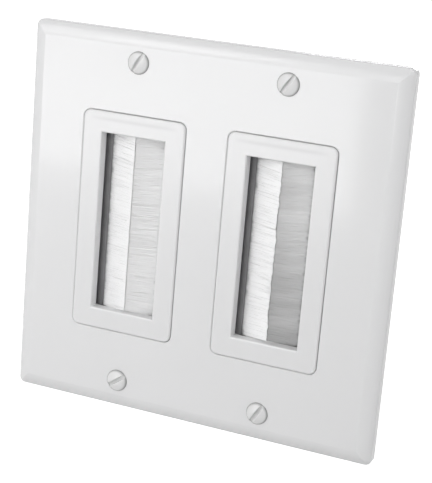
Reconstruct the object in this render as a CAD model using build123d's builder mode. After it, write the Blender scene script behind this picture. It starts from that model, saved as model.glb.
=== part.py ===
from build123d import *
import math
import os

# Two-gang wall plate with a brush insert in each window, for leading low-voltage cables
# through a wall. Millimetres, +Z up, the face towards -Y, +X to the right as seen from the
# front. The wall is the plane Y = 0, and the origin is the centre of the four box screws.
# A height h is a distance in front of the wall, so it lies at Y = -h.

# Pitch of the gangs and of their screws, set by the wall box
gang_pitch = 46.04
plate_screw_pitch = 96.84
box_screw_pitch = 83.34

# Wall plate
plate_width = 116.3
plate_height = 114.3
plate_depth = 5.0
plate_rim_height = 2.8
plate_edge_width = 4.2
plate_edge_radius = 7.0
plate_lip_radius = 1.0
plate_corner_radius = 2.0
plate_face_thickness = 2.0
plate_side_thickness = 1.9
plate_inner_fillet = 0.9
window_width = 33.2
window_height = 66.5
window_corner_radius = 2.4
window_edge_chamfer = 0.25
collar_width = 1.2
rib_thickness = 1.0
rib_setback = 0.4
side_rib_spacing = 24.0
strap_air = 0.2
screw_boss_radius = 4.1

# Insert frame: bezel, brush housing and mounting strap in one moulding
window_gap = 0.16
insert_proud = 0.45
bezel_edge_radius = 0.7
bezel_side = 6.2
bezel_end = 6.25
throat_depth = 3.3
throat_edge_radius = 0.5
pocket_wall = 2.65
pocket_end_wall = 2.95
seat_length = 2.9
strap_length = 105.4
strap_width = 28.0
strap_thickness = 1.5
strap_corner_radius = 4.0
box_slot_length = 6.5
box_slot_width = 4.0
tapped_boss_radius = 3.2
tapped_boss_depth = 3.5

# Brush strips: bristles folded over a core wire in a folded metal channel
brush_tilt = 20.0
ridge_depth = 1.85
meeting_gap = 0.1
channel_depth = 4.9
channel_inner = 2.8
channel_sheet = 0.6
channel_lip = 1.0
channel_crimp = 0.2
channel_bend_radius = 0.8
channel_side_clearance = 0.15
channel_end_clearance = 0.2
seat_clearance = 0.05
wire_radius = 0.6
wire_clearance = 0.05
tuft_count = 28
tuft_groove = 0.25
bristle_bulge = 1.2
tip_thickness = 1.6
tip_shortfall = 0.65
mouth_overlap = 0.35
end_block_clearance = 0.1
root_margin = 1.3

# Retainer behind the brushes, and its screws
retainer_thickness = 1.6
retainer_inset = 0.9
retainer_corner_radius = 1.8
retainer_edge_chamfer = 0.4
retainer_opening_inset = 0.25
saddle_floor = 0.1
saddle_end_clearance = 0.3
retainer_screw_radius = 1.1
retainer_screw_length = 7.0
retainer_screw_head_radius = 2.2
retainer_screw_head_height = 1.4
retainer_screw_head_chamfer = 0.4
retainer_hole_radius = 1.35
cross_width = 0.6
cross_length = 2.4
cross_depth = 0.8

# Plate screws: oval head, slotted, countersunk
screw_radius = 1.75
screw_length = 12.7
screw_head_radius = 3.5
screw_head_stand = 0.2
screw_dome_height = 1.1
screw_cone_angle = 82.0
screw_slot_width = 1.0
screw_slot_depth = 1.3
screw_tip_chamfer = 0.4
screw_hole_radius = 2.0
thread_clearance = 0.03
cone_clearance = 0.03
slot_angle = {
    "left_top": 60.5,
    "right_top": 56.5,
    "right_bottom": 59.0,
    "left_bottom": 35.5,
}

# Sizes that follow from those above
insert_width = window_width - 2 * window_gap
insert_height = window_height - 2 * window_gap
insert_corner_radius = window_corner_radius - window_gap
insert_face = plate_depth + insert_proud
throat_width = insert_width - 2 * bezel_side
throat_height = insert_height - 2 * bezel_end
throat_floor = insert_face - throat_depth
pocket_width = insert_width - 2 * pocket_wall
pocket_length = insert_height - 2 * pocket_end_wall
ridge_height = insert_face - ridge_depth
tilt_cos = math.cos(math.radians(brush_tilt))
tilt_sin = math.sin(math.radians(brush_tilt))
channel_length = pocket_length - 2 * channel_end_clearance
channel_room = pocket_width / 2 - channel_side_clearance
channel_end = (channel_room - channel_sheet * tilt_sin) / tilt_cos
channel_reach = channel_end - channel_depth
wire_place = channel_end - channel_sheet - channel_inner / 2
tip_half_length = throat_height / 2 - tip_shortfall
mouth_half_length = throat_height / 2 + mouth_overlap
root_half_length = channel_length / 2 - root_margin
cavity_height = plate_depth - plate_face_thickness
low_feature_height = strap_thickness + strap_air
retainer_hole_place = pocket_length / 2 - channel_end_clearance

gang_x = {"left": -gang_pitch / 2, "right": gang_pitch / 2}
end_z = {"top": 1, "bottom": -1}
strip_side = {"left": {"outer": -1, "inner": 1}, "right": {"inner": -1, "outer": 1}}


def facing(x, h):
    """Plane parallel to the wall at height h, centred on x, looking at the viewer."""
    return Plane(origin=(x, -h, 0), x_dir=(1, 0, 0), z_dir=(0, -1, 0))


def across(x):
    """Level plane: local x runs to the right, local y towards the viewer."""
    return Plane(origin=(x, 0, 0), x_dir=(1, 0, 0), z_dir=(0, 0, -1))


def brush_section(x, side):
    """Level plane on a strip: local x runs from the ridge to the root, local y to the front."""
    return Plane(
        origin=(x, -ridge_height, 0),
        x_dir=(side * tilt_cos, tilt_sin, 0),
        z_dir=(0, 0, -side),
    )


def strip_point(side, along, front):
    """A point of a strip's section, as offset from the gang's middle and height."""
    offset = side * (along * tilt_cos + front * tilt_sin)
    return (offset, ridge_height - along * tilt_sin + front * tilt_cos)


def edge_profile(half):
    """Section of the plate's outer form: side walls, arched edges and a flat face."""
    with BuildSketch(mode=Mode.PRIVATE) as profile:
        with BuildLine():
            Line((half, 0), (-half, 0))
            Line((-half, 0), (-half, plate_rim_height))
            RadiusArc(
                (-half, plate_rim_height),
                (-half + plate_edge_width, plate_depth),
                plate_edge_radius,
            )
            Line((-half + plate_edge_width, plate_depth), (half - plate_edge_width, plate_depth))
            RadiusArc(
                (half - plate_edge_width, plate_depth),
                (half, plate_rim_height),
                plate_edge_radius,
            )
            Line((half, plate_rim_height), (half, 0))
        make_face()
        lips = profile.vertices().filter_by(
            lambda v: abs(abs(v.X) - half) < 0.01 and abs(v.Y - plate_rim_height) < 0.01
        )
        fillet(lips, plate_lip_radius)
    return profile.sketch


def finish(part, name):
    """Label the piece and write it to its own file."""
    part.label = name
    export_step(part, f"parts/{name}.step")


os.makedirs("parts", exist_ok=True)

# Wall plate
upright = Plane(origin=(0, 0, 0), x_dir=(0, 0, 1), z_dir=(1, 0, 0))
collar_height = cavity_height - low_feature_height
rib_height = cavity_height - rib_setback
bay_edge = gang_pitch / 2 - window_width / 2 - collar_width
outer_bay_edge = gang_pitch / 2 + window_width / 2 + collar_width
inner_half_width = plate_width / 2 - plate_side_thickness
inner_half_height = plate_height / 2 - plate_side_thickness
window_rib_x = (bay_edge + collar_width / 2, outer_bay_edge - collar_width / 2)
with BuildPart() as wall_plate:
    with BuildSketch(across(0)):
        add(edge_profile(plate_width / 2))
    extrude(amount=plate_height, both=True)
    with BuildSketch(upright):
        add(edge_profile(plate_height / 2))
    extrude(amount=plate_width, both=True, mode=Mode.INTERSECT)
    # Rounded corners: the same section turned about the middle of each corner
    with BuildSketch(facing(0, 0)):
        with GridLocations(plate_width, plate_height, 2, 2):
            Rectangle(2 * plate_corner_radius, 2 * plate_corner_radius)
    extrude(amount=plate_depth, mode=Mode.SUBTRACT)
    turn_x = plate_width / 2 - plate_corner_radius
    turn_z = plate_height / 2 - plate_corner_radius
    for right in (-1, 1):
        for up in (-1, 1):
            with BuildSketch(across(0).offset(-up * turn_z)):
                add(edge_profile(plate_width / 2))
                with Locations((right * (turn_x + plate_width / 2), 0)):
                    Rectangle(plate_width, 4 * plate_depth, mode=Mode.INTERSECT)
            revolve(
                axis=Axis((right * turn_x, 0, up * turn_z), (0, -right * up, 0)),
                revolution_arc=90,
            )
    # Hollow back with rounded inner corners
    with BuildSketch(facing(0, 0)):
        Rectangle(2 * inner_half_width, 2 * inner_half_height)
    extrude(amount=cavity_height, mode=Mode.SUBTRACT)
    inner_edges = wall_plate.edges().filter_by(
        lambda e: abs(e.center().Y + cavity_height) < 0.01
    )
    fillet(inner_edges, plate_inner_fillet)
    # Collars round the windows, kept clear of the strap behind them
    with BuildSketch(facing(0, low_feature_height)):
        with GridLocations(gang_pitch, 0, 2, 1):
            RectangleRounded(
                window_width + 2 * collar_width,
                window_height + 2 * collar_width,
                window_corner_radius + collar_width,
            )
    extrude(amount=collar_height)
    # Bosses behind the screw holes
    with BuildSketch(facing(0, low_feature_height)):
        with GridLocations(gang_pitch, plate_screw_pitch, 2, 2):
            Circle(screw_boss_radius)
    extrude(amount=collar_height)
    # Tall ribs: between the windows, from the windows to the rim, and in the side bays
    with BuildSketch(facing(0, rib_setback)):
        for z in (-side_rib_spacing, 0, side_rib_spacing):
            with Locations((0, z)):
                Rectangle(2 * bay_edge, rib_thickness)
            for side in (-1, 1):
                with Locations((side * (outer_bay_edge + inner_half_width) / 2, z)):
                    Rectangle(inner_half_width - outer_bay_edge, rib_thickness)
        rib_run = inner_half_height - window_height / 2
        for x in window_rib_x:
            with GridLocations(2 * x, window_height + rib_run, 2, 2):
                Rectangle(rib_thickness, rib_run)
        with GridLocations(2 * window_rib_x[0], 0, 2, 1):
            Rectangle(rib_thickness, window_height)
    extrude(amount=rib_height)
    # Windows for the inserts
    with BuildSketch(facing(0, 0)):
        with GridLocations(gang_pitch, 0, 2, 1):
            RectangleRounded(window_width, window_height, window_corner_radius)
    extrude(amount=plate_depth, mode=Mode.SUBTRACT)
    front_face = wall_plate.faces().sort_by(Axis.Y)[0]
    chamfer(front_face.inner_wires().edges(), window_edge_chamfer)
    # Countersunk holes for the plate screws
    half_cone = math.tan(math.radians(screw_cone_angle / 2))
    countersink_radius = screw_head_radius - screw_head_stand * half_cone + cone_clearance
    with Locations(facing(0, plate_depth)):
        with GridLocations(gang_pitch, plate_screw_pitch, 2, 2):
            CounterSinkHole(
                screw_hole_radius,
                countersink_radius,
                plate_depth,
                screw_cone_angle,
            )
finish(wall_plate.part, "wall_plate")

# The retainer's saddles reach to the backs of the channels, and the housing ends just
# behind the deepest point of the channels
saddle_back = -(channel_inner + channel_sheet + seat_clearance)
saddle_near = strip_point(1, channel_reach, saddle_back)
saddle_far = strip_point(1, channel_end, saddle_back)
housing_depth = saddle_floor - saddle_far[1]
retainer_opening_half = saddle_near[0] - retainer_opening_inset
end_block_inner = mouth_half_length + end_block_clearance
end_block_half_width = retainer_opening_half - end_block_clearance

# Insert frames: bezel in front, housing behind, strap above and below
for gang, x in gang_x.items():
    with BuildPart() as insert_frame:
        with BuildSketch(facing(x, -housing_depth)):
            RectangleRounded(insert_width, insert_height, insert_corner_radius)
        extrude(amount=housing_depth + insert_face)
        fillet(insert_frame.faces().sort_by(Axis.Y)[0].edges(), bezel_edge_radius)
        with BuildSketch(facing(x, 0)):
            RectangleRounded(strap_width, strap_length, strap_corner_radius)
        extrude(amount=strap_thickness)
        with BuildSketch(facing(x, -tapped_boss_depth)):
            with GridLocations(0, plate_screw_pitch, 1, 2):
                Circle(tapped_boss_radius)
        extrude(amount=tapped_boss_depth)
        # Brush pocket, open to the back
        with BuildSketch(facing(x, -housing_depth)):
            Rectangle(pocket_width, pocket_length)
        extrude(amount=housing_depth + throat_floor, mode=Mode.SUBTRACT)
        # Sloping seats for the channels at both ends of the pocket
        for side in (-1, 1):
            seat_wall = side * pocket_width / 2
            seat_near = strip_point(side, channel_reach, channel_sheet + seat_clearance)
            seat_far = strip_point(side, channel_end, channel_sheet + seat_clearance)
            for end in (-1, 1):
                with BuildSketch(across(x).offset(end * (pocket_length / 2 - seat_length))):
                    with BuildLine():
                        Polyline(
                            (seat_wall, throat_floor),
                            (seat_near[0], throat_floor),
                            seat_near,
                            seat_far,
                            (seat_wall, seat_far[1]),
                            close=True,
                        )
                    make_face()
                extrude(amount=end * seat_length)
        # Throat through the bezel
        with BuildSketch(facing(x, 0)):
            Rectangle(throat_width, throat_height)
        extrude(amount=insert_face, mode=Mode.SUBTRACT)
        bezel_face = insert_frame.faces().sort_by(Axis.Y)[0]
        fillet(bezel_face.inner_wires().edges(), throat_edge_radius)
        # Blocks that close the pocket's ends between the channels and take the screws
        with BuildSketch(facing(x, -housing_depth)):
            with GridLocations(0, end_block_inner + pocket_length / 2, 1, 2):
                Rectangle(2 * end_block_half_width, pocket_length / 2 - end_block_inner)
        extrude(amount=housing_depth + throat_floor)
        with BuildSketch(facing(x, -housing_depth)):
            with GridLocations(0, 2 * retainer_hole_place, 1, 2):
                Circle(retainer_screw_radius + thread_clearance)
        extrude(amount=retainer_screw_length - retainer_thickness, mode=Mode.SUBTRACT)
        # Slots for the box screws and tapped holes for the plate screws
        with BuildSketch(facing(x, 0)):
            with GridLocations(0, box_screw_pitch, 1, 2):
                SlotOverall(box_slot_length, box_slot_width)
        extrude(amount=strap_thickness, mode=Mode.SUBTRACT)
        with BuildSketch(facing(x, -tapped_boss_depth)):
            with GridLocations(0, plate_screw_pitch, 1, 2):
                Circle(screw_radius + thread_clearance)
        extrude(amount=tapped_boss_depth + strap_thickness, mode=Mode.SUBTRACT)
    finish(insert_frame.part, f"insert_frame_{gang}")

# Retainers: a ring that closes the housing, with saddles under the channels
for gang, x in gang_x.items():
    with BuildPart() as retainer:
        with BuildSketch(facing(x, -housing_depth - retainer_thickness)):
            RectangleRounded(
                insert_width - 2 * retainer_inset,
                insert_height - 2 * retainer_inset,
                retainer_corner_radius,
            )
        extrude(amount=retainer_thickness)
        chamfer(retainer.faces().sort_by(Axis.Y)[-1].edges(), retainer_edge_chamfer)
        with BuildSketch(facing(x, -housing_depth - retainer_thickness)):
            Rectangle(2 * retainer_opening_half, throat_height)
        extrude(amount=retainer_thickness, mode=Mode.SUBTRACT)
        for side in (-1, 1):
            with BuildSketch(across(x)):
                with BuildLine():
                    Polyline(
                        (side * retainer_opening_half, -housing_depth),
                        (side * retainer_opening_half, saddle_near[1]),
                        (side * saddle_near[0], saddle_near[1]),
                        (side * saddle_far[0], saddle_far[1]),
                        (side * saddle_far[0], -housing_depth),
                        close=True,
                    )
                make_face()
            extrude(amount=pocket_length / 2 - saddle_end_clearance, both=True)
        with BuildSketch(facing(x, -housing_depth - retainer_thickness)):
            with GridLocations(0, 2 * retainer_hole_place, 1, 2):
                Circle(retainer_hole_radius)
        extrude(amount=retainer_thickness, mode=Mode.SUBTRACT)
    finish(retainer.part, f"brush_retainer_{gang}")

# Brush channels: sheet folded to a U, its lips crimped onto the bristles
half_in = channel_inner / 2
half_out = half_in + channel_sheet
middle = -half_in
lip_end = channel_reach + channel_lip
floor_face = channel_end - channel_sheet
for gang, x in gang_x.items():
    for place, side in strip_side[gang].items():
        with BuildPart() as channel:
            with BuildSketch(brush_section(x, side)):
                with BuildLine():
                    Polyline(
                        (channel_reach, middle + half_out - channel_crimp),
                        (lip_end, middle + half_out),
                        (channel_end, middle + half_out),
                        (channel_end, middle - half_out),
                        (lip_end, middle - half_out),
                        (channel_reach, middle - half_out + channel_crimp),
                        (channel_reach, middle - half_in + channel_crimp),
                        (lip_end, middle - half_in),
                        (floor_face, middle - half_in),
                        (floor_face, middle + half_in),
                        (lip_end, middle + half_in),
                        (channel_reach, middle + half_in - channel_crimp),
                        close=True,
                    )
                make_face()
            extrude(amount=channel_length / 2, both=True)
            far_x = x + side * channel_end * tilt_cos
            root_edges = channel.edges().filter_by(Axis.Z).sort_by_distance(
                (far_x, -ridge_height + channel_end * tilt_sin + half_in * tilt_cos, 0)
            )
            fillet(root_edges[:2], channel_bend_radius)
        finish(channel.part, f"{gang}_brush_channel_{place}")

# Core wires
for gang, x in gang_x.items():
    for place, side in strip_side[gang].items():
        with BuildPart() as wire:
            with BuildSketch(brush_section(x, side)):
                with Locations((wire_place, middle)):
                    Circle(wire_radius)
            extrude(amount=channel_length / 2, both=True)
        finish(wire.part, f"{gang}_core_wire_{place}")


def tuft_outline(half, front, back):
    """Points round a row of tufts: crowns front and back, with grooves between them."""
    pitch = 2 * half / tuft_count
    row = []
    for i in range(tuft_count):
        start = -half + i * pitch
        row.append((start, -tuft_groove))
        row.append((start + pitch / 2, 0))
    row.append((half, -tuft_groove))
    points = [(z, front + depth) for z, depth in row]
    points += [(z, back - depth) for z, depth in reversed(row)]
    return points


# Bristles: tufts that fan out of the channel and meet their neighbours at the ridge
crimped_back = -channel_inner + channel_crimp
for gang, x in gang_x.items():
    for place, side in strip_side[gang].items():
        section = brush_section(x, side)
        with BuildPart() as bristles:
            stations = (
                (channel_reach, mouth_half_length, -channel_crimp, crimped_back),
                (channel_reach - bristle_bulge, mouth_half_length, 0, crimped_back),
                (0, tip_half_length, 0, -tip_thickness),
            )
            for along, half, front, back in stations:
                cut = Plane(
                    origin=section.from_local_coords((along, 0, 0)),
                    x_dir=(0, 0, 1),
                    z_dir=section.x_dir,
                )
                turn = cut.y_dir.dot(section.y_dir)
                outline = [(z, turn * y) for z, y in tuft_outline(half, front, back)]
                with BuildSketch(cut):
                    with BuildLine():
                        Polyline(*outline, close=True)
                    make_face()
            loft(ruled=True)
            # Folded end of the bristles round the wire, inside the channel
            loop_radius = half_in - wire_clearance
            with BuildSketch(section):
                with BuildLine():
                    Polyline(
                        (wire_place, middle + loop_radius),
                        (lip_end, middle + loop_radius),
                        (channel_reach, middle + half_in - channel_crimp - tuft_groove),
                        (channel_reach, middle - half_in + channel_crimp + tuft_groove),
                        (lip_end, middle - loop_radius),
                        (wire_place, middle - loop_radius),
                    )
                    ThreePointArc(
                        (wire_place, middle - loop_radius),
                        (wire_place + loop_radius, middle),
                        (wire_place, middle + loop_radius),
                    )
                make_face()
                with Locations((wire_place, middle)):
                    Circle(wire_radius + wire_clearance, mode=Mode.SUBTRACT)
            extrude(amount=root_half_length, both=True)
            meeting = Plane(origin=(x + side * meeting_gap / 2, 0, 0), z_dir=(side, 0, 0))
            split(bisect_by=meeting, keep=Keep.TOP)
        finish(bristles.part, f"{gang}_bristles_{place}")

# Plate screws
cone_height = (screw_head_radius - screw_radius) / half_cone
head_top = plate_depth + screw_head_stand
slot_floor = head_top + screw_dome_height - screw_slot_depth
dome_radius = (screw_head_radius**2 + screw_dome_height**2) / (2 * screw_dome_height)
for gang, x in gang_x.items():
    for end, sign in end_z.items():
        z = sign * plate_screw_pitch / 2
        side_view = Plane(origin=(x, 0, z), x_dir=(1, 0, 0), z_dir=(0, 0, -1))
        turn = math.radians(slot_angle[f"{gang}_{end}"])
        slot_view = Plane(
            origin=(x, -slot_floor, z),
            x_dir=(math.cos(turn), 0, math.sin(turn)),
            z_dir=(0, -1, 0),
        )
        with BuildPart() as plate_screw:
            with BuildSketch(side_view):
                with BuildLine():
                    Polyline(
                        (0, head_top + screw_dome_height),
                        (0, head_top - screw_length),
                        (screw_radius - screw_tip_chamfer, head_top - screw_length),
                        (screw_radius, head_top - screw_length + screw_tip_chamfer),
                        (screw_radius, head_top - cone_height),
                        (screw_head_radius, head_top),
                    )
                    RadiusArc(
                        (screw_head_radius, head_top),
                        (0, head_top + screw_dome_height),
                        -dome_radius,
                    )
                make_face()
            revolve(axis=Axis((x, 0, z), (0, 1, 0)))
            with BuildSketch(slot_view):
                Rectangle(2 * screw_head_radius, screw_slot_width)
            extrude(amount=screw_slot_depth, mode=Mode.SUBTRACT)
        finish(plate_screw.part, f"plate_screw_{gang}_{end}")

# Retainer screws: small pan heads with a cross recess, driven from the back
for gang, x in gang_x.items():
    for end, sign in end_z.items():
        z = sign * retainer_hole_place
        back = -housing_depth - retainer_thickness
        with BuildPart() as retainer_screw:
            with BuildSketch(Plane(origin=(x, -back, z), x_dir=(1, 0, 0), z_dir=(0, 1, 0))):
                Circle(retainer_screw_head_radius)
            extrude(amount=retainer_screw_head_height)
            chamfer(retainer_screw.faces().sort_by(Axis.Y)[-1].edges(), retainer_screw_head_chamfer)
            with BuildSketch(Plane(origin=(x, -back, z), x_dir=(1, 0, 0), z_dir=(0, -1, 0))):
                Circle(retainer_screw_radius)
            extrude(amount=retainer_screw_length)
            head_end = retainer_screw_head_height - back
            with BuildSketch(Plane(origin=(x, head_end, z), x_dir=(1, 0, 0), z_dir=(0, -1, 0))):
                Rectangle(cross_length, cross_width)
                Rectangle(cross_width, cross_length)
            extrude(amount=cross_depth, mode=Mode.SUBTRACT)
        finish(retainer_screw.part, f"retainer_screw_{gang}_{end}")
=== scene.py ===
import math

import bpy
import numpy as np
from mathutils import Matrix, Vector


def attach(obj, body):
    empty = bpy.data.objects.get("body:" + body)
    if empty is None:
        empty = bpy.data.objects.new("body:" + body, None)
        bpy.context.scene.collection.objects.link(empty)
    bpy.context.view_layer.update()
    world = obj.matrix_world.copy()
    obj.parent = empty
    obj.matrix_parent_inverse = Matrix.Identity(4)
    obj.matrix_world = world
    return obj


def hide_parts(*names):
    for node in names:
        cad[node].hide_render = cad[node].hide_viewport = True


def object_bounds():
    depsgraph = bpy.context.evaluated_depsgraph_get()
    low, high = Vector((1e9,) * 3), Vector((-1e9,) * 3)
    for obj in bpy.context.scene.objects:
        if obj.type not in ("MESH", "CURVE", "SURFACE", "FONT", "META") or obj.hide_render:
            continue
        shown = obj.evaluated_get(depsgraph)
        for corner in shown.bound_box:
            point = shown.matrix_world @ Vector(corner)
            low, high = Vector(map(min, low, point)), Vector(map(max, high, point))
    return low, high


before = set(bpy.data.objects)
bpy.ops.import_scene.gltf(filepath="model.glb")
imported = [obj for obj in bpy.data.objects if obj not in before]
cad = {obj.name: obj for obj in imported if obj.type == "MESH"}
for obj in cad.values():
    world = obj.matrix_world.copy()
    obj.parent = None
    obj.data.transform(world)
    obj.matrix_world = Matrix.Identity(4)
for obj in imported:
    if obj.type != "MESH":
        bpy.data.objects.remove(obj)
cad_low, cad_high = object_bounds()

# Camera: seen from the right and a little above, rolled slightly, through a long lens.
# The picture is 432 by 483, and the lens is given for its long, upright side.
camera_place = Vector((0.154728, -0.368391, 0.103779))
camera_ahead = Vector((-0.36727, 0.8947, -0.25421)).normalized()
camera_up = Vector((-0.17474, 0.20208, 0.96365))
camera_right = camera_ahead.cross(camera_up).normalized()
camera_up = camera_right.cross(camera_ahead)
camera_turn = Matrix((camera_right, camera_up, -camera_ahead)).transposed()
camera_data = bpy.data.cameras.new("camera")
camera_data.lens = 105.2
camera_data.sensor_width = 36.0
camera_data.clip_start = 0.01
camera_data.clip_end = 20.0
camera = bpy.data.objects.new("camera", camera_data)
camera.matrix_world = Matrix.Translation(camera_place) @ camera_turn.to_4x4()
bpy.context.scene.collection.objects.link(camera)
bpy.context.scene.camera = camera

# Wall plate: one injection moulding in glossy white plastic with a polished face.
# The tool leaves a faint orange peel, and thick spots sink and shine a little differently.


def group_of_nodes(name, inputs, outputs):
    """An empty shader group with number, colour or vector sockets."""
    kinds = {"number": "NodeSocketFloat", "colour": "NodeSocketColor", "vector": "NodeSocketVector"}
    group = bpy.data.node_groups.new(name, "ShaderNodeTree")
    for socket, kind, value in inputs:
        made = group.interface.new_socket(socket, in_out="INPUT", socket_type=kinds[kind])
        made.default_value = value
    for socket, kind in outputs:
        group.interface.new_socket(socket, in_out="OUTPUT", socket_type=kinds[kind])
    return group, group.nodes.new("NodeGroupInput"), group.nodes.new("NodeGroupOutput")


def object_place(tree):
    """Where on the object each point of the surface is."""
    return tree.nodes.new("ShaderNodeTexCoord").outputs["Object"]


def noise(tree, place, scale, detail=2.0):
    """Smooth noise from 0 to 1 over the coordinates given."""
    node = tree.nodes.new("ShaderNodeTexNoise")
    node.inputs["Scale"].default_value = scale
    node.inputs["Detail"].default_value = detail
    tree.links.new(place, node.inputs["Vector"])
    return node.outputs["Fac"]


def remap(tree, value, low, high):
    """Turns 0 to 1 into low to high, where low and high are numbers or sockets."""
    node = tree.nodes.new("ShaderNodeMapRange")
    tree.links.new(value, node.inputs["Value"])
    for socket, limit in (("To Min", low), ("To Max", high)):
        if isinstance(limit, (int, float)):
            node.inputs[socket].default_value = limit
        else:
            tree.links.new(limit, node.inputs[socket])
    return node.outputs["Result"]


def arithmetic(tree, operation, *values):
    """One step of arithmetic on numbers or sockets."""
    node = tree.nodes.new("ShaderNodeMath")
    node.operation = operation
    for socket, value in zip(node.inputs, values):
        if isinstance(value, (int, float)):
            socket.default_value = value
        else:
            tree.links.new(value, socket)
    return node.outputs[0]


def toned(tree, colour, tone):
    """A colour made darker or lighter by a number that changes over the surface."""
    node = tree.nodes.new("ShaderNodeVectorMath")
    node.operation = "SCALE"
    tree.links.new(colour, node.inputs[0])
    tree.links.new(tone, node.inputs["Scale"])
    return node.outputs[0]


# How fine the moulding's clouds, orange peel and grit are, and how much the grit adds
cloud_scale = 45.0
peel_scale = 850.0
grit_scale = 4200.0
grit_share = 0.25


def moulded_skin_group():
    """Plastic from a mould: orange peel, faint sink marks and a gloss that wanders."""
    group, given, out = group_of_nodes(
        "moulded_skin",
        [
            ("Colour", "colour", (0.8, 0.8, 0.8, 1.0)),
            ("Mottle", "number", 0.02),
            ("Gloss", "number", 0.3),
            ("Gloss Wander", "number", 0.05),
        ],
        [("Colour", "colour"), ("Roughness", "number"), ("Height", "number")],
    )
    place = object_place(group)
    clouds = noise(group, place, cloud_scale)
    peel = noise(group, place, peel_scale)
    grit = noise(group, place, grit_scale, 1.0)
    shade = remap(group, clouds, arithmetic(group, "SUBTRACT", 1.0, given.outputs["Mottle"]), 1.0)
    group.links.new(toned(group, given.outputs["Colour"], shade), out.inputs["Colour"])
    spread = arithmetic(group, "SUBTRACT", peel, 0.5)
    spread = arithmetic(group, "MULTIPLY", spread, given.outputs["Gloss Wander"])
    rough = arithmetic(group, "ADD", given.outputs["Gloss"], spread)
    group.links.new(rough, out.inputs["Roughness"])
    height = arithmetic(group, "MULTIPLY_ADD", grit, grit_share, peel)
    group.links.new(height, out.inputs["Height"])
    return group


moulded_skin = moulded_skin_group()


def material_of(name):
    """A fresh node material: itself, its tree and its Principled shader."""
    material = bpy.data.materials.new(name)
    material.use_nodes = True
    tree = material.node_tree
    return material, tree, tree.nodes["Principled BSDF"]


def placed(tree, group, **values):
    """Puts an effect into a material's tree, with its own values."""
    node = tree.nodes.new("ShaderNodeGroup")
    node.node_tree = group
    for socket, value in values.items():
        node.inputs[socket.replace("_", " ").title()].default_value = value
    return node.outputs


def bump(tree, shader, height, strength, distance):
    """Bump from a height that changes over the surface; distance in metres."""
    node = tree.nodes.new("ShaderNodeBump")
    node.inputs["Strength"].default_value = strength
    node.inputs["Distance"].default_value = distance
    tree.links.new(height, node.inputs["Height"])
    tree.links.new(node.outputs["Normal"], shader.inputs["Normal"])


# White plastic lets light in: how much of it, and how many metres it wanders
light_let_in = 0.6
light_reach = 0.0007


def moulded_plastic(name, colour, gloss, wander, mottle, peel_strength, peel_depth):
    """Moulded plastic in one colour, into which light sinks a little way."""
    material, tree, shader = material_of(name)
    skin = placed(
        tree, moulded_skin, colour=(*colour, 1.0), mottle=mottle, gloss=gloss, gloss_wander=wander
    )
    tree.links.new(skin["Colour"], shader.inputs["Base Color"])
    tree.links.new(skin["Roughness"], shader.inputs["Roughness"])
    shader.inputs["Subsurface Weight"].default_value = light_let_in
    shader.inputs["Subsurface Radius"].default_value = (1.0, 1.0, 1.0)
    shader.inputs["Subsurface Scale"].default_value = light_reach
    bump(tree, shader, skin["Height"], peel_strength, peel_depth)
    return material


def dress(node, material):
    """Gives a CAD node its finish."""
    slots = cad[node].data.materials
    slots.clear()
    slots.append(material)


plate_white = moulded_plastic(
    "plate_gloss_white",
    colour=(0.765, 0.765, 0.77),
    gloss=0.1,
    wander=0.04,
    mottle=0.015,
    peel_strength=0.12,
    peel_depth=0.00002,
)
dress("wall_plate", plate_white)

# Insert frames: bezel, brush housing and strap moulded in one piece of the same white,
# from a finer-grained tool, so their faces are a touch duller than the plate's.
insert_white = moulded_plastic(
    "insert_satin_white",
    colour=(0.76, 0.76, 0.765),
    gloss=0.2,
    wander=0.06,
    mottle=0.015,
    peel_strength=0.2,
    peel_depth=0.00002,
)
# Half the distance between the middles of the two gangs
gang_offset = 0.02302


def add_painted_sink_shade(material, level, half_width, half_length, depth):
    """A faint darker line across each insert's top flange: painted shade in place of the shading of
    the shallow sink in the moulding.
    """
    tree = material.node_tree
    shader = tree.nodes["Principled BSDF"]
    parts = tree.nodes.new("ShaderNodeSeparateXYZ")
    tree.links.new(object_place(tree), parts.inputs[0])
    off = arithmetic(tree, "SUBTRACT", parts.outputs["Z"], level)
    off = arithmetic(tree, "DIVIDE", off, half_width)
    squared = arithmetic(tree, "MULTIPLY", off, off)
    line = arithmetic(tree, "EXPONENT", arithmetic(tree, "MULTIPLY", squared, -1.0))
    aside = arithmetic(tree, "ABSOLUTE", parts.outputs["X"])
    aside = arithmetic(tree, "SUBTRACT", aside, gang_offset)
    aside = arithmetic(tree, "DIVIDE", arithmetic(tree, "ABSOLUTE", aside), half_length)
    faded = arithmetic(tree, "SUBTRACT", 1.0, arithmetic(tree, "POWER", aside, 4.0))
    faded = arithmetic(tree, "MAXIMUM", faded, 0.0)
    kept = arithmetic(tree, "MULTIPLY", arithmetic(tree, "MULTIPLY", line, faded), -depth)
    kept = arithmetic(tree, "ADD", kept, 1.0)
    plain = shader.inputs["Base Color"].links[0].from_socket
    tree.links.new(toned(tree, plain, kept), shader.inputs["Base Color"])


# Painted shade: a soft dark line across each top flange, standing for the shading of a shallow sink
add_painted_sink_shade(insert_white, level=0.0309, half_width=0.0006, half_length=0.0145, depth=0.1)
for gang in ("left", "right"):
    dress(f"insert_frame_{gang}", insert_white)

# Retainers: matt white rings, moulded without a polished side.
# They are screwed on behind the brushes and never seen from the room.
retainer_white = moulded_plastic(
    "retainer_matt_white",
    colour=(0.74, 0.74, 0.73),
    gloss=0.55,
    wander=0.1,
    mottle=0.03,
    peel_strength=0.35,
    peel_depth=0.00003,
)
for gang in ("left", "right"):
    dress(f"brush_retainer_{gang}", retainer_white)

# Brush channels and core wires: strip steel folded to a U over a drawn wire.
# Both are left as rolled and dull, with fine lines along their length. The channel's dark tone is
# partly the steel's own and partly painted shade, for the shade under the bezel's flange.


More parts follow.
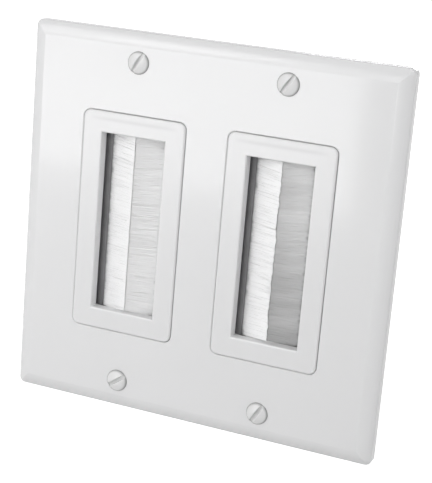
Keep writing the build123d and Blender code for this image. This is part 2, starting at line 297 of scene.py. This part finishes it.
def stretched(tree, place, scale):
    """Coordinates scaled along each axis, by numbers or by a socket."""
    node = tree.nodes.new("ShaderNodeMapping")
    tree.links.new(place, node.inputs["Vector"])
    if isinstance(scale, tuple):
        node.inputs["Scale"].default_value = scale
    else:
        tree.links.new(scale, node.inputs["Scale"])
    return node.outputs["Vector"]


# Mill marks: lines are long one way and fine across, stains darken or lighten the metal,
# and the gloss swings a little with the lines
line_scale_along = 60.0
line_scale_across = 3000.0
line_bump = 0.3
line_depth = 0.00002
stain_scale = 160.0
stain_dark, stain_light = 0.75, 1.25
gloss_swing = 0.1


def drawn_lines_group():
    """Steel that was rolled or drawn: fine lines along it, and stains from the mill."""
    group, given, out = group_of_nodes(
        "drawn_lines",
        [
            ("Colour", "colour", (0.5, 0.5, 0.5, 1.0)),
            ("Roughness", "number", 0.5),
            ("Stretch", "vector", (line_scale_across, line_scale_across, line_scale_along)),
        ],
        [("Colour", "colour"), ("Roughness", "number"), ("Height", "number")],
    )
    place = object_place(group)
    lines = noise(group, stretched(group, place, given.outputs["Stretch"]), 1.0, 3.0)
    stains = noise(group, place, stain_scale, 3.0)
    stained = remap(group, stains, stain_dark, stain_light)
    colour = toned(group, given.outputs["Colour"], stained)
    group.links.new(colour, out.inputs["Colour"])
    shinier = arithmetic(group, "SUBTRACT", given.outputs["Roughness"], gloss_swing)
    duller = arithmetic(group, "ADD", given.outputs["Roughness"], gloss_swing)
    group.links.new(remap(group, lines, shinier, duller), out.inputs["Roughness"])
    group.links.new(lines, out.inputs["Height"])
    return group


drawn_lines = drawn_lines_group()


def drawn_steel(name, colour, lines_along, roughness, metallic):
    """Rolled or drawn steel with fine lines along one axis of the object."""
    material, tree, shader = material_of(name)
    stretch = [line_scale_along if axis == lines_along else line_scale_across for axis in "XYZ"]
    steel = placed(
        tree, drawn_lines, colour=(*colour, 1.0), roughness=roughness, stretch=stretch
    )
    tree.links.new(steel["Colour"], shader.inputs["Base Color"])
    tree.links.new(steel["Roughness"], shader.inputs["Roughness"])
    shader.inputs["Metallic"].default_value = metallic
    bump(tree, shader, steel["Height"], line_bump, line_depth)
    return material


# Painted shade in part: the channel's steel is darkened for the shade behind the flange
channel_steel = drawn_steel(
    "channel_strip_steel",
    colour=(0.25, 0.25, 0.255),
    lines_along="Z",
    roughness=0.6,
    metallic=0.35,
)
wire_steel = drawn_steel(
    "core_wire_steel",
    colour=(0.42, 0.42, 0.43),
    lines_along="Z",
    roughness=0.35,
    metallic=1.0,
)
strips = [("left", "outer"), ("left", "inner"), ("right", "inner"), ("right", "outer")]
for gang, strip in strips:
    dress(f"{gang}_brush_channel_{strip}", channel_steel)
    dress(f"{gang}_core_wire_{strip}", wire_steel)

# Bristles: clear-white nylon filaments, folded over the core wire and crimped in the channel.
# They fan towards the middle of the opening, trimmed square where the two strips meet.
# Every filament is a thin three-sided tube, smooth shaded, and neighbours cling in tufts.
ridge_height = 0.0036
brush_tilt = math.radians(20.0)
filament_count = 7400
filament_radius = 0.000075
filament_rings = 5
# The bed from the channel's mouth, over a bulge, to the tips: shares of the way along it,
# and how far its front and its back lie from the strip's middle plane
bed_stations = (0.0, 0.18, 1.0)
bed_fronts = (-0.0003, -0.0001, -0.0001)
bed_backs = (-0.0025, -0.0023, -0.0015)
# Filaments crowd towards the front of the bed by this power
front_crowding = 2.4
mouth_reach = 0.0098
mouth_half = 0.02735
tip_half = 0.0265
# Sideways: tufts and broader clumps sway, in waves that shift a little from the front of
# the bed to its back, and single filaments stray and bow
tuft_waves, tuft_sway, tuft_shift = (61, 97, 143, 211), 0.00018, 0.07
clump_waves, clump_sway, clump_shift = (17, 29, 41), 0.00012, -0.05
stray_spread = 0.0001
bow_spread = 0.00005
# In depth: tufts lift in the middle of their length, and single filaments sag
lift_waves, lift_most = (23, 51, 87, 133), 0.00012
sag_most = 0.00015
# Lengthways: the trimmed edge runs in and out, with smaller nicks
trim_waves, nick_waves, nick_share = (7, 12, 19, 33), (59, 83), 0.4
# The power that keeps the lift of the low end to its last few tufts
low_end_only = 12


def wavy(draw, length, waves):
    """A smooth random curve over -1 to 1, from a few sine waves."""
    share = np.zeros_like(length)
    for frequency in waves:
        phase = draw.uniform(0, 2 * math.pi)
        share += np.sin(frequency * length + phase) / len(waves)
    return share


def filament_paths(draw, low_end_lift, tip_x, tip_rise, ragged):
    """Points of every filament's line: along the strip, across it in z, and its depth."""
    across = draw.uniform(-1, 1, filament_count)
    layer = draw.uniform(0, 1, filament_count) ** front_crowding
    sway = wavy(draw, across + tuft_shift * layer, tuft_waves) * tuft_sway
    sway += wavy(draw, across + clump_shift * layer, clump_waves) * clump_sway
    stray = draw.normal(0, stray_spread, filament_count)
    bow = draw.normal(0, bow_spread, filament_count)
    lift = np.abs(wavy(draw, across, lift_waves)) * lift_most
    steps = np.linspace(0, 1, filament_rings)[None, :]
    root_z = (across * mouth_half)[:, None]
    tip_z = np.clip(across * tip_half + sway + stray, -tip_half, tip_half)
    tip_z = (tip_z + low_end_lift * ((1 - across) / 2) ** low_end_only)[:, None]
    z = root_z + (tip_z - root_z) * steps + bow[:, None] * np.sin(math.pi * steps)
    front = np.interp(steps, bed_stations, (*bed_fronts[:2], bed_fronts[2] + tip_rise))
    back = np.interp(steps, bed_stations, bed_backs)
    depth = front + (back - front) * layer[:, None]
    sag = draw.uniform(0, sag_most, (filament_count, 1))
    depth = depth + (lift[:, None] - sag) * steps * (1 - steps)
    trim = draw.uniform(*tip_x, filament_count) - depth[:, -1] * math.sin(brush_tilt)
    trim_line = wavy(draw, across, trim_waves)
    trim += ragged * (trim_line + nick_share * wavy(draw, across, nick_waves))
    reach = (trim / math.cos(brush_tilt))[:, None]
    along = mouth_reach + (reach - mouth_reach) * steps
    return along, z, depth


def tubes(points, radius, sides=3):
    """Vertices and faces of thin closed tubes along rows of points."""
    count, rings, _ = points.shape
    ahead = points[:, -1] - points[:, 0]
    ahead /= np.linalg.norm(ahead, axis=1, keepdims=True)
    level = np.cross(ahead, np.array([0.0, 0.0, 1.0]))
    level /= np.linalg.norm(level, axis=1, keepdims=True)
    upward = np.cross(level, ahead)
    corners = np.arange(sides) * 2 * math.pi / sides
    around = level[:, None, :] * np.cos(corners)[None, :, None]
    around = around + upward[:, None, :] * np.sin(corners)[None, :, None]
    vertices = points[:, :, None, :] + radius * around[:, None, :, :]
    index = np.arange(count * rings * sides).reshape(count, rings, sides)
    following = np.roll(index, -1, axis=2)
    walls = np.stack([index[:, :-1], following[:, :-1], following[:, 1:], index[:, 1:]], axis=-1)
    # The ends have points of their own, so that they leave the walls' normals alone
    ends = np.concatenate([vertices[:, 0, ::-1], vertices[:, -1]])
    vertices = vertices.reshape(-1, 3)
    caps = len(vertices) + np.arange(2 * count * sides).reshape(-1, sides)
    return np.concatenate([vertices, ends.reshape(-1, 3)]), walls.reshape(-1, 4), caps


def mesh_from_arrays(name, vertices, faces_by_size, smooth_sets):
    """A mesh from number arrays; the first sets of faces are smooth, and the rest flat."""
    mesh = bpy.data.meshes.new(name)
    corners = np.concatenate([faces.ravel() for faces in faces_by_size])
    sizes = np.concatenate([np.full(len(faces), faces.shape[1]) for faces in faces_by_size])
    starts = np.concatenate([[0], np.cumsum(sizes)[:-1]])
    mesh.vertices.add(len(vertices))
    mesh.vertices.foreach_set("co", vertices.astype(np.float32).ravel())
    mesh.loops.add(len(corners))
    mesh.loops.foreach_set("vertex_index", corners.astype(np.int32))
    mesh.polygons.add(len(sizes))
    mesh.polygons.foreach_set("loop_start", starts.astype(np.int32))
    smooth = np.concatenate([np.full(len(f), i < smooth_sets) for i, f in enumerate(faces_by_size)])
    mesh.polygons.foreach_set("use_smooth", smooth)
    mesh.update(calc_edges=True)
    mesh.validate()
    return mesh


def eased(tree, value, start, end, low, high):
    """Runs softly from low to high while the value goes from start to end."""
    node = tree.nodes.new("ShaderNodeMapRange")
    node.interpolation_type = "SMOOTHSTEP"
    limits = {"From Min": start, "From Max": end, "To Min": low, "To Max": high}
    for socket, limit in limits.items():
        node.inputs[socket].default_value = limit
    tree.links.new(value, node.inputs["Value"])
    return node.outputs["Result"]


# The two shades of clear nylon, and how fine its streaks and its broad bands are
clear_nylon = (0.92, 0.92, 0.925, 1.0)
milky_nylon = (0.97, 0.97, 0.97, 1.0)
streak_scales = (60.0, 60.0, 900.0)
band_scales = (25.0, 25.0, 230.0)
clear_gloss, milky_gloss = 0.28, 0.2
# Painted shade on the tufts near the channel's mouth, standing for the wall's shadow: how unevenly
# it reaches, how far from the ridge, and its tone
mouth_shade_scale = 0.55
mouth_shade_creep = 0.0022
mouth_shade_from = 0.0090
mouth_shade_to = 0.0106
mouth_shade_tone = 0.3


def nylon_tufts_group():
    """Nylon tufts: streaks and bands in tone, painted light and shade from bottom to top and from
    ridge to mouth, and painted shade near the channel's lips.
    """
    group, given, out = group_of_nodes(
        "nylon_tufts",
        [
            ("High Tone", "number", 1.0),
            ("Low Tone", "number", 1.0),
            ("Band Depth", "number", 0.04),
            ("Ridge Tone", "number", 1.0),
            ("Mouth Tone", "number", 1.0),
        ],
        [("Colour", "colour"), ("Roughness", "number")],
    )
    place = object_place(group)
    streaks = stretched(group, place, streak_scales)
    tufts = noise(group, streaks, 1.0, 3.0)
    colours = group.nodes.new("ShaderNodeMix")
    colours.data_type = "RGBA"
    group.links.new(tufts, colours.inputs["Factor"])
    colours.inputs["A"].default_value = clear_nylon
    colours.inputs["B"].default_value = milky_nylon
    parts = group.nodes.new("ShaderNodeSeparateXYZ")
    group.links.new(place, parts.inputs[0])
    # Painted shade from bottom to top: the tone runs from Low Tone at the bottom to High Tone at
    # the top
    rise = arithmetic(group, "MULTIPLY_ADD", parts.outputs["Z"], 1 / (2 * mouth_half), 0.5)
    tone = remap(group, rise, given.outputs["Low Tone"], given.outputs["High Tone"])
    bands = noise(group, stretched(group, place, band_scales), 1.0, 4.0)
    darkest = arithmetic(group, "SUBTRACT", 1.0, given.outputs["Band Depth"])
    lightest = arithmetic(group, "ADD", 1.0, given.outputs["Band Depth"])
    tone = arithmetic(group, "MULTIPLY", tone, remap(group, bands, darkest, lightest))
    # Painted light and shade across the strip: the tone runs from Ridge Tone at the ridge to Mouth
    # Tone at the channel's mouth
    aside = arithmetic(group, "ABSOLUTE", parts.outputs["X"])
    aside = arithmetic(group, "SUBTRACT", aside, gang_offset)
    aside = arithmetic(group, "ABSOLUTE", aside)
    outward = arithmetic(group, "DIVIDE", aside, mouth_reach)
    fade = remap(group, outward, given.outputs["Ridge Tone"], given.outputs["Mouth Tone"])
    tone = arithmetic(group, "MULTIPLY", tone, fade)
    # Painted shade near the channel's mouth reaches a little way up the tufts, further on some than
    # on others, and darkens them
    creep = noise(group, streaks, mouth_shade_scale, 3.0)
    reached = arithmetic(group, "MULTIPLY_ADD", creep, mouth_shade_creep, aside)
    mouth_shade = eased(group, reached, mouth_shade_from, mouth_shade_to, 1.0, mouth_shade_tone)
    tone = arithmetic(group, "MULTIPLY", tone, mouth_shade)
    group.links.new(toned(group, colours.outputs["Result"], tone), out.inputs["Colour"])
    group.links.new(remap(group, tufts, clear_gloss, milky_gloss), out.inputs["Roughness"])
    return group


nylon_tufts = nylon_tufts_group()


def nylon_filaments(name, high_tone, low_tone, band_depth, ridge_tone, mouth_tone):
    """Nylon: bright and slightly clear, with tufts and bands that differ a little in tone; its
    tones from bottom to top and from ridge to mouth are painted light and shade.
    """
    material, tree, shader = material_of(name)
    tufted = placed(
        tree,
        nylon_tufts,
        high_tone=high_tone,
        low_tone=low_tone,
        band_depth=band_depth,
        ridge_tone=ridge_tone,
        mouth_tone=mouth_tone,
    )
    tree.links.new(tufted["Colour"], shader.inputs["Base Color"])
    tree.links.new(tufted["Roughness"], shader.inputs["Roughness"])
    shader.inputs["IOR"].default_value = 1.9
    return material


# Three tonings of one nylon. Here, painted light: a touch lighter towards the ridge
nylon = nylon_filaments(
    "bristle_nylon",
    high_tone=1.0,
    low_tone=1.0,
    band_depth=0.04,
    ridge_tone=1.02,
    mouth_tone=1.0,
)
# Painted shade at the ridge and painted light towards the mouth
nylon_ridge_shade = nylon_filaments(
    "bristle_nylon_dull",
    high_tone=1.0,
    low_tone=1.0,
    band_depth=0.04,
    ridge_tone=0.9,
    mouth_tone=1.04,
)
# Painted shade: darker overall and much darker towards the bottom, darker at the ridge, and painted
# light towards the mouth
nylon_painted_shade = nylon_filaments(
    "bristle_nylon_greyer",
    high_tone=0.86,
    low_tone=0.48,
    band_depth=0.3,
    ridge_tone=0.88,
    mouth_tone=1.3,
)
nylons = {
    ("left", "outer"): nylon,
    ("left", "inner"): nylon_ridge_shade,
    ("right", "inner"): nylon,
    ("right", "outer"): nylon_painted_shade,
}

# The strip on the left was fitted last, so its tips lie a little over the other's
tip_x = {-1: (-0.00012, 0.00004), 1: (0.00006, 0.0002)}
tip_rise = {-1: 0.00012, 1: -0.0001}
low_end_lifts = {"left": 0.0, "right": 0.0002}
# One strip was trimmed less evenly than the other three
raggedness = dict.fromkeys(strips, 0.00005)
raggedness["right", "inner"] = 0.0003


def bristle_bed(gang, strip, seed):
    """One strip's bed of loose filaments, in the form of its solid."""
    side = 1 if (gang == "right") == (strip == "outer") else -1
    middle = gang_offset if gang == "right" else -gang_offset
    along, z, depth = filament_paths(
        np.random.default_rng(seed),
        low_end_lifts[gang],
        tip_x[side],
        tip_rise[side],
        raggedness[gang, strip],
    )
    x = middle + side * (along * math.cos(brush_tilt) + depth * math.sin(brush_tilt))
    y = -ridge_height + along * math.sin(brush_tilt) - depth * math.cos(brush_tilt)
    vertices, walls, caps = tubes(np.stack([x, y, z], axis=-1), filament_radius)
    name = f"{gang}_filaments_{strip}"
    mesh = mesh_from_arrays(name, vertices, [walls, caps], 1)
    mesh.materials.append(nylons[gang, strip])
    bed = bpy.data.objects.new(name, mesh)
    bpy.context.scene.collection.objects.link(bed)
    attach(bed, "root")
    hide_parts(f"{gang}_bristles_{strip}")


for seed, (gang, strip) in enumerate(strips, 11):
    bristle_bed(gang, strip, seed)

# Plate screws: slotted oval-head machine screws, the heads dipped in white enamel.
# The enamel rounds the slot's edges and pools a little; the thread below is bare zinc.
enamel = moulded_plastic(
    "screw_white_enamel",
    colour=(0.75, 0.75, 0.75),
    gloss=0.24,
    wander=0.1,
    mottle=0.03,
    peel_strength=0.35,
    peel_depth=0.00004,
)


def add_painted_rim_shade(material, start, end, tone):
    """Painted shade: a darker ring on the enamel where the head's edge meets the plate, standing
    for the shadow in the joint and on the steep edge.
    """
    tree = material.node_tree
    shader = tree.nodes["Principled BSDF"]
    reach = tree.nodes.new("ShaderNodeVectorMath")
    reach.operation = "LENGTH"
    tree.links.new(stretched(tree, object_place(tree), (1.0, 0.0, 1.0)), reach.inputs[0])
    rim_shade = eased(tree, reach.outputs["Value"], start, end, 1.0, tone)
    plain = shader.inputs["Base Color"].links[0].from_socket
    tree.links.new(toned(tree, plain, rim_shade), shader.inputs["Base Color"])


# Painted shade round the rim of each screw head
add_painted_rim_shade(enamel, start=0.0027, end=0.0034, tone=0.45)
zinc = drawn_steel(
    "screw_zinc",
    colour=(0.55, 0.55, 0.56),
    lines_along="Y",
    roughness=0.38,
    metallic=1.0,
)
screw_pitch = 0.09684
head_radius = 0.0035
head_rim = 0.0052
dome_height = 0.00145
dome_columns = 29
slot_depth = 0.0017
cone_slope = math.tan(math.radians(41.0))
# The enamel rolls over the rim: where that starts, and how far the rim drops by it
rounded_from = 0.0028
rim_drop = 0.00018
rim_roll = 0.00015
# The ring just under the rim, where the cone starts
collar_level = 0.00495
collar_radius = head_radius - 0.00022
thread_pitch = 0.000794
thread_major = 0.00175
thread_minor = 0.0014
thread_rings = 10
thread_runout = 0.0004
tip_chamfer = 0.0003
shank_end = -0.0075
# Distance from the slot's middle in mm and share of its depth: rounded edges, steep walls
slot_section = [
    (0.0, 1.0), (0.2, 1.0), (0.33, 0.985), (0.41, 0.93), (0.45, 0.82), (0.475, 0.6), (0.5, 0.35),
    (0.53, 0.17), (0.58, 0.07), (0.66, 0.02), (0.8, 0.0), (1.1, 0.0), (1.5, 0.0), (1.95, 0.0),
    (2.35, 0.0), (2.7, 0.0), (2.92, 0.0), (3.1, 0.0), (3.22, 0.0), (3.3, 0.0), (3.335, 0.0),
]


def head_surface(turn):
    """Rows of points over the head, along chords that run with the slot, and their faces."""
    across = [-u for u, _ in reversed(slot_section[1:])] + [u for u, _ in slot_section]
    shares = [v for _, v in reversed(slot_section[1:])] + [v for _, v in slot_section]
    across = np.array(across)[:, None] * 0.001
    share = np.array(shares)[:, None]
    floor_level = head_rim + dome_height - slot_depth
    end_level = (head_rim - rim_drop) * (1 - share) + floor_level * share
    end_radius = head_radius - (head_rim - end_level) * cone_slope
    steps = np.sin(np.linspace(-1, 1, dome_columns) * math.pi / 2)[None, :]
    along = steps * np.sqrt(np.maximum(end_radius**2 - across**2, 0.0))
    radius = np.hypot(across, along)
    ball = (head_radius**2 + dome_height**2) / (2 * dome_height)
    dome = head_rim + np.sqrt(ball**2 - radius**2) - (ball - dome_height)
    rounded_to = head_radius - rim_drop * cone_slope
    share_out = np.clip((radius - rounded_from) / (rounded_to - rounded_from), 0, 1)
    dome = dome - (1 - np.sqrt(1 - share_out**2)) * (rim_drop + rim_roll)
    height = dome * (1 - share) + np.minimum(dome, floor_level) * share
    x = along * math.cos(turn) - across * math.sin(turn)
    z = along * math.sin(turn) + across * math.cos(turn)
    points = np.stack([x, -height, z], axis=-1)
    rows, columns, _ = points.shape
    index = np.arange(rows * columns).reshape(rows, columns)
    faces = np.stack([index[:-1, :-1], index[:-1, 1:], index[1:, 1:], index[1:, :-1]], axis=-1)
    edge = np.concatenate([index[0, :-1], index[:-1, -1], index[-1, :0:-1], index[:0:-1, 0]])
    return points.reshape(-1, 3), faces.reshape(-1, 4), edge


def ring(radius, level, angle):
    """Points round the screw's axis at one level."""
    level = np.full(len(angle), -level)
    return np.stack([radius * np.cos(angle), level, radius * np.sin(angle)], axis=-1)


def shank_rings(count):
    """Rings from the end of the cone, down the rolled thread, to the screw's tip."""
    cone_end = head_rim - (head_radius - thread_major) / cone_slope
    levels = np.arange(cone_end, shank_end + thread_runout, -thread_pitch / thread_rings)
    angle = np.arange(count) * 2 * math.pi / count
    rings = [ring(thread_major, cone_end, angle)]
    for level in levels[1:]:
        turn = (level / thread_pitch + angle / (2 * math.pi)) % 1.0
        crest = np.clip(1.5 - np.abs(turn - 0.5) * 4, 0, 1)
        grown = min((cone_end - level) / thread_pitch, 1.0)
        radius = thread_major - (thread_major - thread_minor) * (1 - crest) * grown
        rings.append(ring(radius, level, angle))
    rings.append(ring(thread_minor, shank_end + tip_chamfer, angle))
    rings.append(ring(thread_minor - tip_chamfer, shank_end, angle))
    return np.stack(rings)


def plate_screw(gang, end, slot_angle):
    """One plate screw in place of its plain solid."""
    head, head_faces, edge = head_surface(math.radians(slot_angle))
    way = np.arctan2(head[edge, 2], head[edge, 0])
    # The shank's rings start where the head's edge does, and run the same way round
    facing = 1 if np.sum(np.sin(np.diff(way))) > 0 else -1
    shank = shank_rings(len(edge))
    shank[..., 2] *= facing
    cosine, sine = math.cos(way[0]), math.sin(way[0])
    turned = shank.copy()
    turned[..., 0] = shank[..., 0] * cosine - shank[..., 2] * sine
    turned[..., 2] = shank[..., 0] * sine + shank[..., 2] * cosine
    collar = ring(collar_radius, collar_level, way)
    lower = np.concatenate([collar[None], turned]).reshape(-1, 3)
    index = len(head) + np.arange(len(lower)).reshape(-1, len(edge))
    loops = np.concatenate([edge[None], index])
    following = np.roll(loops, -1, axis=1)
    skirt = np.stack([loops[:-1], loops[1:], following[1:], following[:-1]], axis=-1)
    tip = index[-1][None, ::-1]
    if facing < 0:
        skirt, tip = skirt[..., ::-1], tip[:, ::-1]
    enamelled = np.concatenate([head_faces, skirt[:2].reshape(-1, 4)])
    bare = skirt[2:].reshape(-1, 4)
    name = f"plate_screw_{gang}_{end}_turned"
    mesh = mesh_from_arrays(name, np.concatenate([head, lower]), [enamelled, bare, tip], 2)
    mesh.materials.append(enamel)
    mesh.materials.append(zinc)
    kinds = np.concatenate([np.zeros(len(enamelled)), np.ones(len(bare) + len(tip))])
    mesh.polygons.foreach_set("material_index", kinds.astype(np.int32))
    piece = bpy.data.objects.new(name, mesh)
    x = gang_offset if gang == "right" else -gang_offset
    z = screw_pitch / 2 if end == "top" else -screw_pitch / 2
    piece.location = (x, 0, z)
    bpy.context.scene.collection.objects.link(piece)
    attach(piece, "root")
    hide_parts(f"plate_screw_{gang}_{end}")


# The angles at which the slots were left, in degrees from level
slot_angles = {
    ("left", "top"): 60.5,
    ("right", "top"): 56.5,
    ("right", "bottom"): 59.0,
    ("left", "bottom"): 35.5,
}
for (gang, end), slot_angle in slot_angles.items():
    plate_screw(gang, end, slot_angle)

# Retainer screws: steel pan heads with a cross recess, zinc plated.
# They are driven in from behind and hold the retainers against the inserts.
for gang in ("left", "right"):
    for end in ("top", "bottom"):
        dress(f"retainer_screw_{gang}_{end}", zinc)

# Floor: a white sweep that the plate stands on with its lower edge.
# It keeps the soft shadow, and glows only where it is looked at.
floor_half = 3.0
floor_mesh = bpy.data.meshes.new("floor")
floor_corners = [(-1, -1), (1, -1), (1, 1), (-1, 1)]
floor_mesh.from_pydata(
    [(floor_half * x, floor_half * y, cad_low.z) for x, y in floor_corners], [], [(0, 1, 2, 3)]
)
floor = bpy.data.objects.new("floor", floor_mesh)
bpy.context.scene.collection.objects.link(floor)
floor_white, floor_tree, floor_shader = material_of("floor_white")
floor_shader.inputs["Base Color"].default_value = (0.6, 0.6, 0.6, 1.0)
floor_shader.inputs["Roughness"].default_value = 0.9
floor_shader.inputs["Specular IOR Level"].default_value = 0.0
floor_shader.inputs["Emission Color"].default_value = (1.0, 1.0, 1.0, 1.0)


def looked_at(tree):
    """1 for rays from the camera, also by way of a mirror or something clear, and else 0."""
    rays = tree.nodes.new("ShaderNodeLightPath").outputs
    seen = arithmetic(tree, "MAXIMUM", rays["Is Camera Ray"], rays["Is Glossy Ray"])
    return arithmetic(tree, "MAXIMUM", seen, rays["Is Transmission Ray"])


# Far from the lamps it is lifted more, so that it stays white behind the plate
lift_near, lift_far, far_per_metre = 0.78, 0.97, 2.0
floor_parts = floor_tree.nodes.new("ShaderNodeSeparateXYZ")
floor_tree.links.new(object_place(floor_tree), floor_parts.inputs[0])
floor_far = arithmetic(floor_tree, "MULTIPLY", floor_parts.outputs["Y"], far_per_metre)
floor_lift = remap(floor_tree, floor_far, lift_near, lift_far)
floor_lift = arithmetic(floor_tree, "MULTIPLY", looked_at(floor_tree), floor_lift)
floor_tree.links.new(floor_lift, floor_shader.inputs["Emission Strength"])
floor_mesh.materials.append(floor_white)

# Studio: white all round, dim as a light and full white where it is looked at.
# Soft lamps stand at the upper left, in front, above, on the right and behind the plate.
# A low card and a tall strip near the plate are there for their reflection and streaks.
world = bpy.data.worlds.new("studio")
bpy.context.scene.world = world
world.use_nodes = True
world_tree = world.node_tree
background = world_tree.nodes["Background"]
background.inputs["Color"].default_value = (1.0, 1.0, 1.0, 1.0)
light_strength, seen_strength = 0.26, 1.0
world_light = remap(world_tree, looked_at(world_tree), light_strength, seen_strength)
world_tree.links.new(world_light, background.inputs["Strength"])


def soft_lamp(name, place, aim, width, height, power):
    """A rectangular soft lamp that looks at a point."""
    data = bpy.data.lights.new(name, "AREA")
    data.shape = "RECTANGLE"
    data.size = width
    data.size_y = height
    data.energy = power
    lamp = bpy.data.objects.new(name, data)
    way = Vector(aim) - Vector(place)
    turn = way.to_track_quat("-Z", "Y").to_matrix().to_4x4()
    lamp.matrix_world = Matrix.Translation(Vector(place)) @ turn
    bpy.context.scene.collection.objects.link(lamp)


plate_middle = (0, 0, 0)
soft_lamp("key", (-0.45, -0.60, 0.55), plate_middle, width=0.4, height=0.4, power=1.08)
soft_lamp("front", (-0.27, -0.64, 0.28), plate_middle, width=0.3, height=0.5, power=0.7)
soft_lamp("front_right", (0.14, -0.66, 0.28), plate_middle, width=0.3, height=0.4, power=0.77)
soft_lamp(
    "near_card",
    place=(-0.16, -0.285, -0.008),
    aim=(-0.16, 0.0, -0.008),
    width=0.24,
    height=0.094,
    power=0.22,
)
soft_lamp(
    "tall_strip",
    place=(0.085, -0.40, 0.38),
    aim=(0.085, 0.0, 0.38),
    width=0.07,
    height=0.86,
    power=0.5,
)
soft_lamp("top", (0.0, -0.12, 0.75), plate_middle, width=0.5, height=0.4, power=0.33)
soft_lamp("right", (0.70, -0.03, 0.15), plate_middle, width=0.4, height=0.4, power=1.0)
soft_lamp("back", (-0.05, 0.85, 0.45), plate_middle, width=0.5, height=0.5, power=2.4)

view_settings = bpy.context.scene.view_settings
view_settings.view_transform = "Standard"
